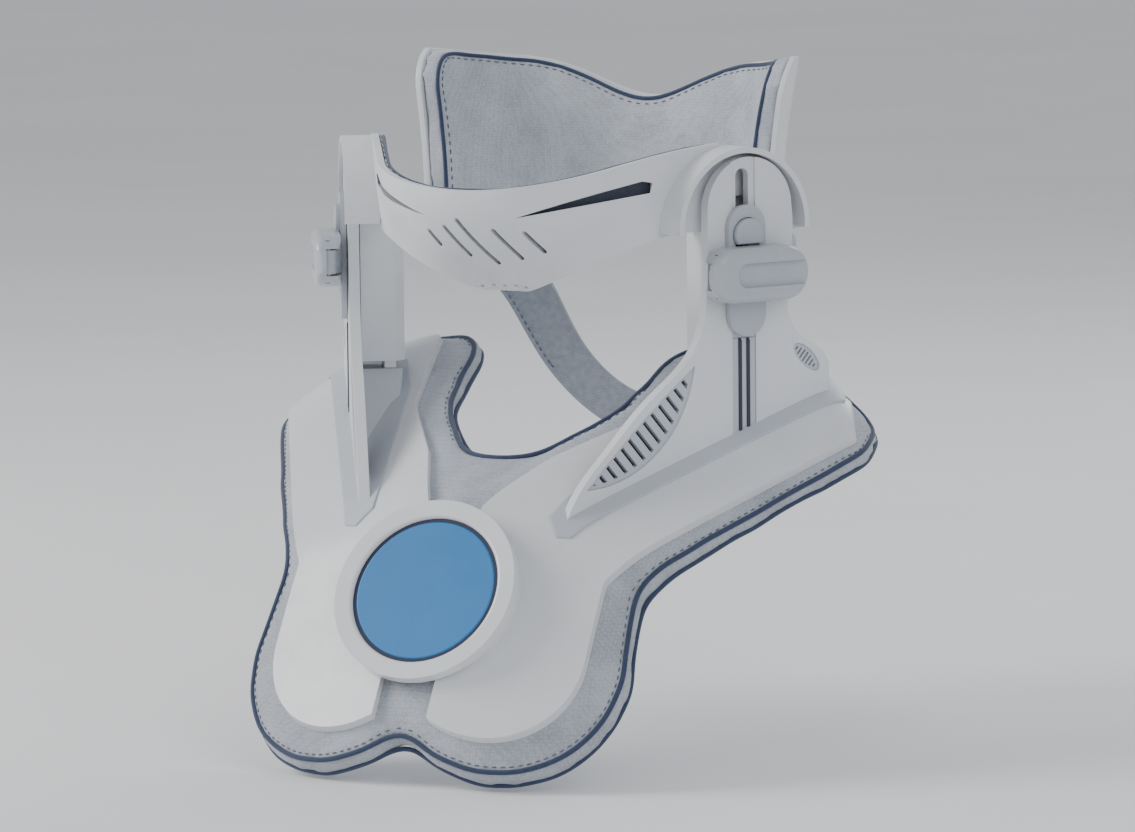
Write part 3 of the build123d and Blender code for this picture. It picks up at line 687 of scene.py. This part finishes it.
occiput_pad = foam_piece(
    "occiput_pad", "occiput_cushion", ["occiput_shell"],
    voxel=0.0026, cap=0.003, pressure=4.0, grip=0.0016, start_in=0.0008,
)
dress(occiput_pad, LINING, "occiput")
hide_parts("occiput_pad")
occiput_rim = rim_loop("occiput_pad", inward_to_head, limit=0.5, step=0.0025, rounds=2)
piping("occiput_cushion_piping", occiput_pad, occiput_rim, 0.0010, "occiput")
stitch_marks = resample(occiput_rim, step=0.004)
stitch_row("occiput_cushion_stitching", occiput_pad, stitch_marks, inward_to_head, 0.004, "occiput")

chin_pad = foam_piece(
    "chin_liner", "chin_cushion", ["chin_shell"],
    voxel=0.0015, cap=0.0012, pressure=3.0, grip=0.0007, start_in=0.0002,
)
dress(chin_pad, LINING, "head")
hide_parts("chin_liner")

# Painted shade: the side against the chin shell is painted near-black, so the liner seen through the chin
# slots looks shadowed.
AGAINST_SHELL = -0.15
SHADE_SCRIM_INDEX = 1
chin_pad.data.materials.append(SHADE_SCRIM)
for polygon in chin_pad.data.polygons:
    if polygon.normal.dot(inward_to_chin(polygon.center)) < AGAINST_SHELL:
        polygon.material_index = SHADE_SCRIM_INDEX
chin_rim = rim_loop("chin_liner", inward_to_chin, limit=0.3, step=0.002, rounds=2)
piping("chin_cushion_piping", chin_pad, chin_rim, 0.0008, "head")


# ------------------------------------------------------------------ nape strap
def outward_from_nape(point):
    return Vector((point.x, point.y - HEAD_AXIS_Y, 0.0)).normalized()


def strap_mesh():
    """The strap with its edges rounded."""
    work = welded_mesh("nape_strap")
    sharp = [edge for edge in work.edges if len(edge.link_faces) == 2 and edge.calc_face_angle() > 0.9]
    bmesh.ops.bevel(
        work, geom=sharp, offset=0.0006, segments=3, profile=0.5, affect="EDGES", clamp_overlap=True
    )
    return finished_mesh(work, "nape_webbing")


strap = add_object("nape_webbing", strap_mesh(), STRAP, "occiput")
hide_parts("nape_strap")
strap_rim = rim_loop("nape_strap", outward_from_nape, limit=0.5, step=0.0036)
stitch_row("nape_webbing_stitching", strap, strap_rim, outward_from_nape, 0.0022, "occiput")


# ------------------------------------------------------------------ painted shade: dark sheets behind the vents
SHADE_SHEET_FRONT = 0.0001           # the shade sheet's two faces lie this far behind the vent
SHADE_SHEET_BACK = 0.0006
INNER_FACE = 0.0003             # what lies this close to the vent's deepest point is its inner face


def plate_axes(side):
    """The directions out of an upright's plate and back along it."""
    mirror = 1.0 if side == "left" else -1.0
    out = Vector((mirror * math.cos(SPLAY), -math.sin(SPLAY), 0.0))
    back = Vector((mirror * math.sin(SPLAY), math.cos(SPLAY), 0.0))
    return out, back


def hull_corners(points):
    """Corners of the convex outline of 2-D points, in order."""
    ordered = sorted(set(points))
    chains = []
    for sequence in (ordered, list(reversed(ordered))):
        chain = []
        for point in sequence:
            while len(chain) > 1:
                ax, ay = chain[-1][0] - chain[-2][0], chain[-1][1] - chain[-2][1]
                bx, by = point[0] - chain[-1][0], point[1] - chain[-1][1]
                if ax * by - ay * bx > 0:
                    break
                chain.pop()
            chain.append(point)
        chains.append(chain[:-1])
    return chains[0] + chains[1]


def vent_shade_sheet(node, side):
    """A thin near-black sheet of painted shade closing a vent from inside, cut to the vent's own outline."""
    out, back = plate_axes(side)
    places = [vertex.co for vertex in nodes[node].data.vertices]
    depth = min(place.dot(out) for place in places)
    inner = [place for place in places if place.dot(out) < depth + INNER_FACE]
    flat = [(round(place.dot(back), 5), round(place.z, 5)) for place in inner]
    corners = hull_corners(flat)
    work = bmesh.new()
    layers = []
    for layer in (depth - SHADE_SHEET_FRONT, depth - SHADE_SHEET_BACK):
        layers.append([work.verts.new(back * u + out * layer + Vector((0, 0, v))) for u, v in corners])
    near, far = layers
    work.faces.new(near)
    work.faces.new(list(reversed(far)))
    for index in range(len(corners)):
        after = (index + 1) % len(corners)
        work.faces.new((near[index], far[index], far[after], near[after]))
    bmesh.ops.recalc_face_normals(work, faces=work.faces)
    name = node + "_gauze"
    add_object(name, finished_mesh(work, name), SHADE_SCRIM, "base")


def button_coil(side):
    """The button's coil spring: a copy of its CAD node, carried by the head body."""
    node = "button_spring_" + side
    mesh = nodes[node].data.copy()
    coil = add_object("button_coil_" + side, mesh, STEEL, "head")
    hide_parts(node)
    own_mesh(coil)


for side in SIDES:
    button_coil(side)
    vent_shade_sheet("vent_front_" + side, side)
    vent_shade_sheet("vent_rear_" + side, side)


# ------------------------------------------------------------------ stage
FLOOR_GAP = 0.0005              # the pad's lowest point stands this far over the floor
FLOOR_SIZE = 60.0

bpy.ops.mesh.primitive_plane_add(size=FLOOR_SIZE, location=(0, 0, cad_low.z - FLOOR_GAP))
floor = bpy.context.object
floor.name = "floor"
floor.data.materials.append(floor_paint("floor_paint"))


def area_light(name, location, target, size, power, colour=(1, 1, 1)):
    """A soft rectangular light that looks at a target."""
    data = bpy.data.lights.new(name, "AREA")
    data.shape = "RECTANGLE"
    data.size, data.size_y = size
    data.energy = power
    data.color = colour
    light = bpy.data.objects.new(name, data)
    light.location = location
    light.rotation_euler = (Vector(target) - Vector(location)).to_track_quat("-Z", "Y").to_euler()
    bpy.context.scene.collection.objects.link(light)


WARM = (1.0, 0.98, 0.95)
COOL = (0.93, 0.96, 1.0)
area_light("key", (-1.5, -0.7, 0.9), target=(0, -0.02, 0.02), size=(0.9, 0.9), power=25.0, colour=WARM)
area_light("fill", (1.3, -1.0, 0.9), target=(0, -0.02, 0.02), size=(1.2, 1.2), power=8.0, colour=COOL)
area_light("rim", (0.3, 1.5, 1.1), target=(0, 0.0, 0.05), size=(1.0, 0.6), power=9.0)

world = bpy.data.worlds.new("studio")
world.use_nodes = True
sky = world.node_tree.nodes["Background"]
sky.inputs["Color"].default_value = (0.86, 0.89, 0.93, 1)
sky.inputs["Strength"].default_value = 0.62
bpy.context.scene.world = world

# The camera: from the wearer's front left and a little above, from far off through a long lens.
AZIMUTH = math.radians(26.0)
ELEVATION = math.radians(7.0)
ROLL = math.radians(0.6)
DISTANCE = 3.2
SENSOR_WIDTH = 36.0             # millimetres, as is the lens
LENS = 223.295
PAN = math.radians(0.1628)      # how far it looks to the right of the frame's origin, and above it
RISE = math.radians(0.0692)

camera_data = bpy.data.cameras.new("camera")
camera_data.sensor_width = SENSOR_WIDTH
camera_data.lens = LENS
camera = bpy.data.objects.new("camera", camera_data)
toward = Vector(
    (math.sin(AZIMUTH) * math.cos(ELEVATION), -math.cos(AZIMUTH) * math.cos(ELEVATION), math.sin(ELEVATION))
)
camera.location = toward * DISTANCE
camera.rotation_mode = "QUATERNION"
camera.rotation_quaternion = (
    (-toward).to_track_quat("-Z", "Y")
    @ Quaternion((0, 1, 0), -PAN)
    @ Quaternion((1, 0, 0), RISE)
    @ Quaternion((0, 0, 1), -ROLL)
)
bpy.context.scene.collection.objects.link(camera)
bpy.context.scene.camera = camera
